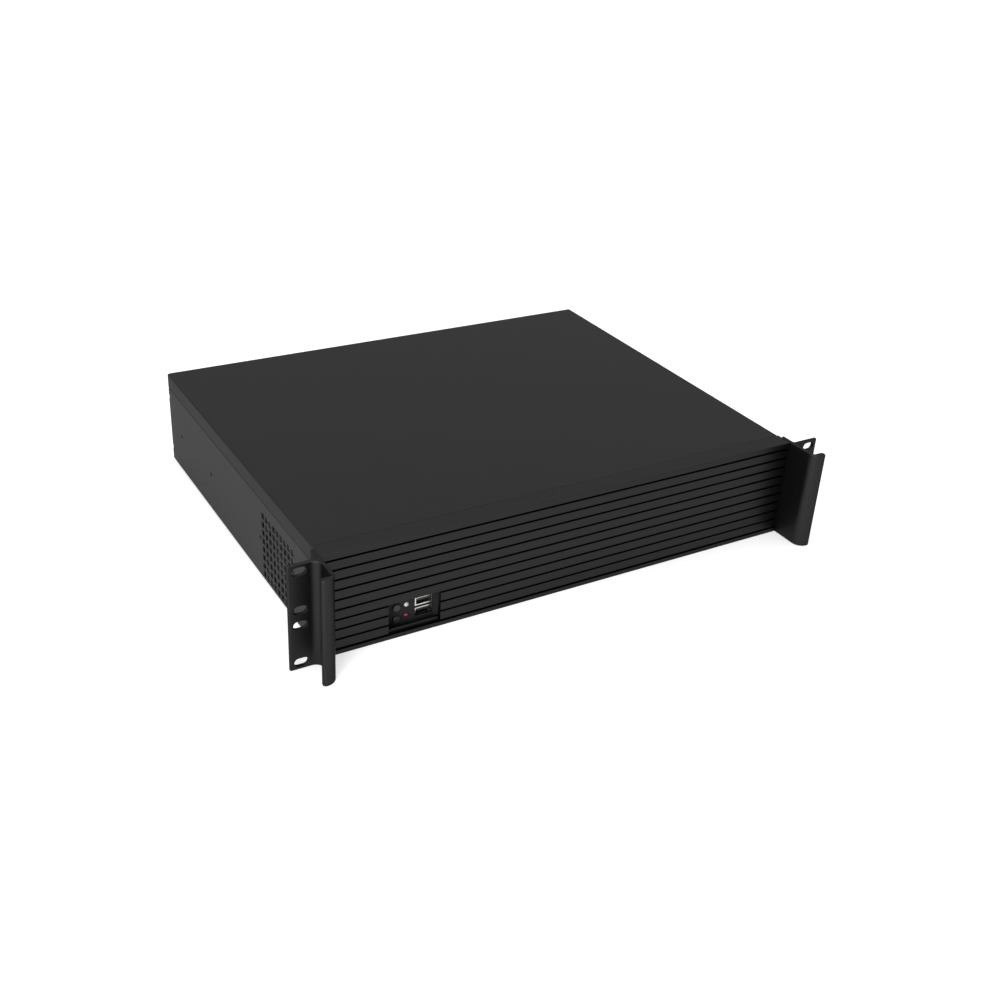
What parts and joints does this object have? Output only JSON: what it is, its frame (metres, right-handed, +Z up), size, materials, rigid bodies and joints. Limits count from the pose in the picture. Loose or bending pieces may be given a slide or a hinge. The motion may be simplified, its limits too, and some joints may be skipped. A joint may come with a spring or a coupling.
{
  "type": "empty rackmount server case",
  "caption": "Two-unit rack case of black folded steel with a louvred aluminium front, slotted rack ears with turned grips, a recessed switch and socket window, and a sliding cover.",
  "frame": {"origin": "middle of the bounding box seen from above, at the bottom of the front panel and ears", "axes": "+X to the right of someone facing the front, +Y from the front to the back, +Z up"},
  "size_m": [0.4826, 0.3836, 0.0881],
  "materials": {
    "body_paint": "fine textured black powder coat on folded steel",
    "cover_paint": "fine textured black powder coat on folded steel",
    "black_anodised": "black anodised extruded aluminium, satin",
    "ear_anodised": "black anodised extruded aluminium, satin",
    "plate_paint": "black powder coat on a small folded plate",
    "galvanised": "galvanised steel sheet",
    "zinc_screws": "zinc plated machine screws",
    "black_screws": "black oxide screws",
    "brass_posts": "plain turned brass",
    "board": "green solder mask on glass-fibre board",
    "button_plastic": "moulded black plastic, satin",
    "switch_plastic": "moulded black plastic",
    "clear_lens": "clear moulded lens",
    "red_lens": "red moulded lens",
    "spacer_plastic": "natural nylon",
    "socket_metal": "nickel plated pressed shell",
    "tongue_plastic": "moulded black insulator",
    "fan_frame_plastic": "moulded black plastic",
    "fan_rotor_plastic": "moulded black plastic"
  },
  "bodies": {
    "case": {"board_standoffs": "brass_posts", "cage_screws": "zinc_screws", "chassis_tray": "body_paint", "drive_cage": "galvanised", "drive_light": "red_lens", "ear_screws": "black_screws", "fan_frame": "fan_frame_plastic", "fan_screws": "black_screws", "front_panel": "black_anodised", "front_wall": "body_paint", "io_board": "board", "io_board_posts": "brass_posts", "io_plate": "plate_paint", "left_ear": "ear_anodised", "light_spacers": "spacer_plastic", "panel_screws": "zinc_screws", "power_light": "clear_lens", "power_switch": "switch_plastic", "psu_bracket": "galvanised", "rear_panel": "body_paint", "reset_switch": "switch_plastic", "right_ear": "ear_anodised", "slot_cover_1": "galvanised", "slot_cover_2": "galvanised", "slot_cover_3": "galvanised", "slot_cover_4": "galvanised", "slot_cover_5": "galvanised", "slot_cover_6": "galvanised", "slot_cover_7": "galvanised", "slot_screws": "zinc_screws", "usb_shell_lower": "socket_metal", "usb_shell_upper": "socket_metal", "usb_tongue_lower": "tongue_plastic", "usb_tongue_upper": "tongue_plastic"},
    "cover": {"top_cover": "cover_paint", "cover_thumbscrews": "black_screws"},
    "power_plunger": {"power_button": "button_plastic"},
    "reset_plunger": {"reset_button": "button_plastic"},
    "fan_wheel": {"fan_rotor": "fan_rotor_plastic"}
  },
  "joints": [
    {"name": "cover_slide", "type": "slide", "parent": "case", "child": "cover", "axis": [0, 1, 0], "range_m": [0, 0.335]},
    {"name": "power_press", "type": "slide", "parent": "case", "child": "power_plunger", "axis": [0, 1, 0], "range_m": [0, 0.0015], "stiffness_N_per_m": 1500},
    {"name": "reset_press", "type": "slide", "parent": "case", "child": "reset_plunger", "axis": [0, 1, 0], "range_m": [0, 0.0015], "stiffness_N_per_m": 1500},
    {"name": "fan_spin", "type": "hinge", "parent": "case", "child": "fan_wheel", "pos_m": [-0.206, -0.07725, 0.03455], "axis": [1, 0, 0], "continuous": true}
  ]
}
